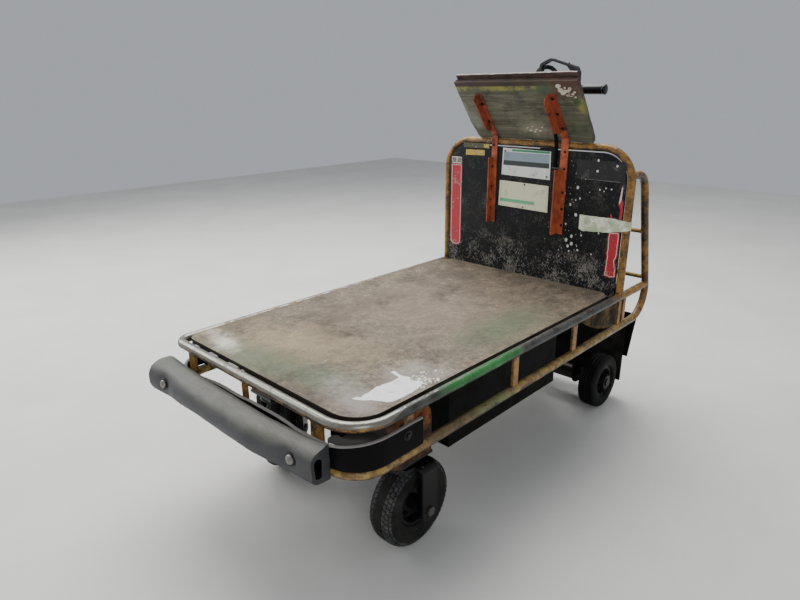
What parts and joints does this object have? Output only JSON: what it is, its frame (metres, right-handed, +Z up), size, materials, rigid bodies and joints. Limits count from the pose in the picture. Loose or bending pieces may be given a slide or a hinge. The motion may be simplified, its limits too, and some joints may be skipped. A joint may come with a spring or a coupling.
{
  "type": "electric platform trolley",
  "caption": "Walk-behind electric platform trolley with a tubular frame, wooden deck, high backrest with a sloping desk, folded belt bumper, swivel castors and driven rear wheels.",
  "frame": {"origin": "on the floor, under the middle of the trolley's box", "axes": "+Z up, -Y to the bumper at the front, +Y to the operator's handle, +X to the side with the wider desk bracket"},
  "size_m": [0.816, 1.627, 1.3219],
  "materials": {
    "rail_paint": "worn ochre, grey and green paint over steel",
    "deck_wood": "bare worn plywood",
    "frame_black": "dirty black paint",
    "castor_orange": "rusty orange paint",
    "battery_case": "dull black plastic",
    "cover_yellow": "dirty yellow paint",
    "drive_metal": "greasy dark metal",
    "guard_rubber": "dusty grey rubber",
    "panel_black": "scuffed black paint on board",
    "desk_ply": "weathered grey-green plywood",
    "desk_lid": "worn brown writing surface",
    "bracket_orange": "worn orange-red paint",
    "handle_black": "black paint",
    "grip_black": "smooth black grip",
    "bow_strap": "dull black strip",
    "belt_rubber": "worn grey belt rubber",
    "bolt_steel": "dull zinc",
    "castor_dark": "dark dirty paint",
    "rim_dark": "dark dirty paint",
    "tyre_black": "dusty tyre rubber"
  },
  "bodies": {
    "chassis": {"upper_rail": "rail_paint", "lower_rail": "rail_paint", "left_hoop": "rail_paint", "right_hoop": "rail_paint", "backrest_frame": "rail_paint", "rail_posts": "rail_paint", "cross_bars": "rail_paint", "deck_board": "deck_wood", "deck_bearers": "frame_black", "chassis_channels": "frame_black", "battery_tray": "frame_black", "axle_hangers": "frame_black", "foot_guard": "frame_black", "castor_beam": "castor_orange", "battery": "battery_case", "drive_housing": "cover_yellow", "transaxle": "drive_metal", "drive_motor": "drive_metal", "guard_flap": "guard_rubber", "backrest_panel": "panel_black", "desk_board": "desk_ply", "desk_top": "desk_lid", "left_bracket": "bracket_orange", "right_bracket": "bracket_orange", "handle_column": "handle_black", "control_head": "handle_black", "handlebar": "handle_black", "handle_grips": "grip_black", "control_bow": "bow_strap", "bumper_sleeve": "belt_rubber", "bumper_strip": "belt_rubber", "bumper_bolts": "bolt_steel", "castor_heads": "castor_dark"},
    "left_castor": {"left_fork": "castor_dark", "left_castor_axle": "bolt_steel"},
    "left_castor_wheel": {"left_castor_tyre": "tyre_black", "left_castor_rim": "rim_dark"},
    "right_castor": {"right_fork": "castor_dark", "right_castor_axle": "bolt_steel"},
    "right_castor_wheel": {"right_castor_tyre": "tyre_black", "right_castor_rim": "rim_dark"},
    "left_rear_wheel": {"left_rear_tyre": "tyre_black", "left_rear_rim": "rim_dark"},
    "right_rear_wheel": {"right_rear_tyre": "tyre_black", "right_rear_rim": "rim_dark"}
  },
  "joints": [
    {"name": "left_castor_swivel", "type": "hinge", "parent": "chassis", "child": "left_castor", "pos_m": [-0.274, -0.4555, 0.284], "axis": [0, 0, 1], "continuous": true},
    {"name": "left_castor_spin", "type": "hinge", "parent": "left_castor", "child": "left_castor_wheel", "pos_m": [-0.30478, -0.4161, 0.13], "axis": [0.788, 0.6157, 0], "continuous": true},
    {"name": "right_castor_swivel", "type": "hinge", "parent": "chassis", "child": "right_castor", "pos_m": [0.274, -0.4555, 0.284], "axis": [0, 0, 1], "continuous": true},
    {"name": "right_castor_spin", "type": "hinge", "parent": "right_castor", "child": "right_castor_wheel", "pos_m": [0.274, -0.4055, 0.13], "axis": [1, 0, 0], "continuous": true},
    {"name": "left_rear_spin", "type": "hinge", "parent": "chassis", "child": "left_rear_wheel", "pos_m": [-0.29, 0.6875, 0.107], "axis": [1, 0, 0], "continuous": true},
    {"name": "right_rear_spin", "type": "hinge", "parent": "chassis", "child": "right_rear_wheel", "pos_m": [0.29, 0.6875, 0.107], "axis": [1, 0, 0], "continuous": true}
  ]
}
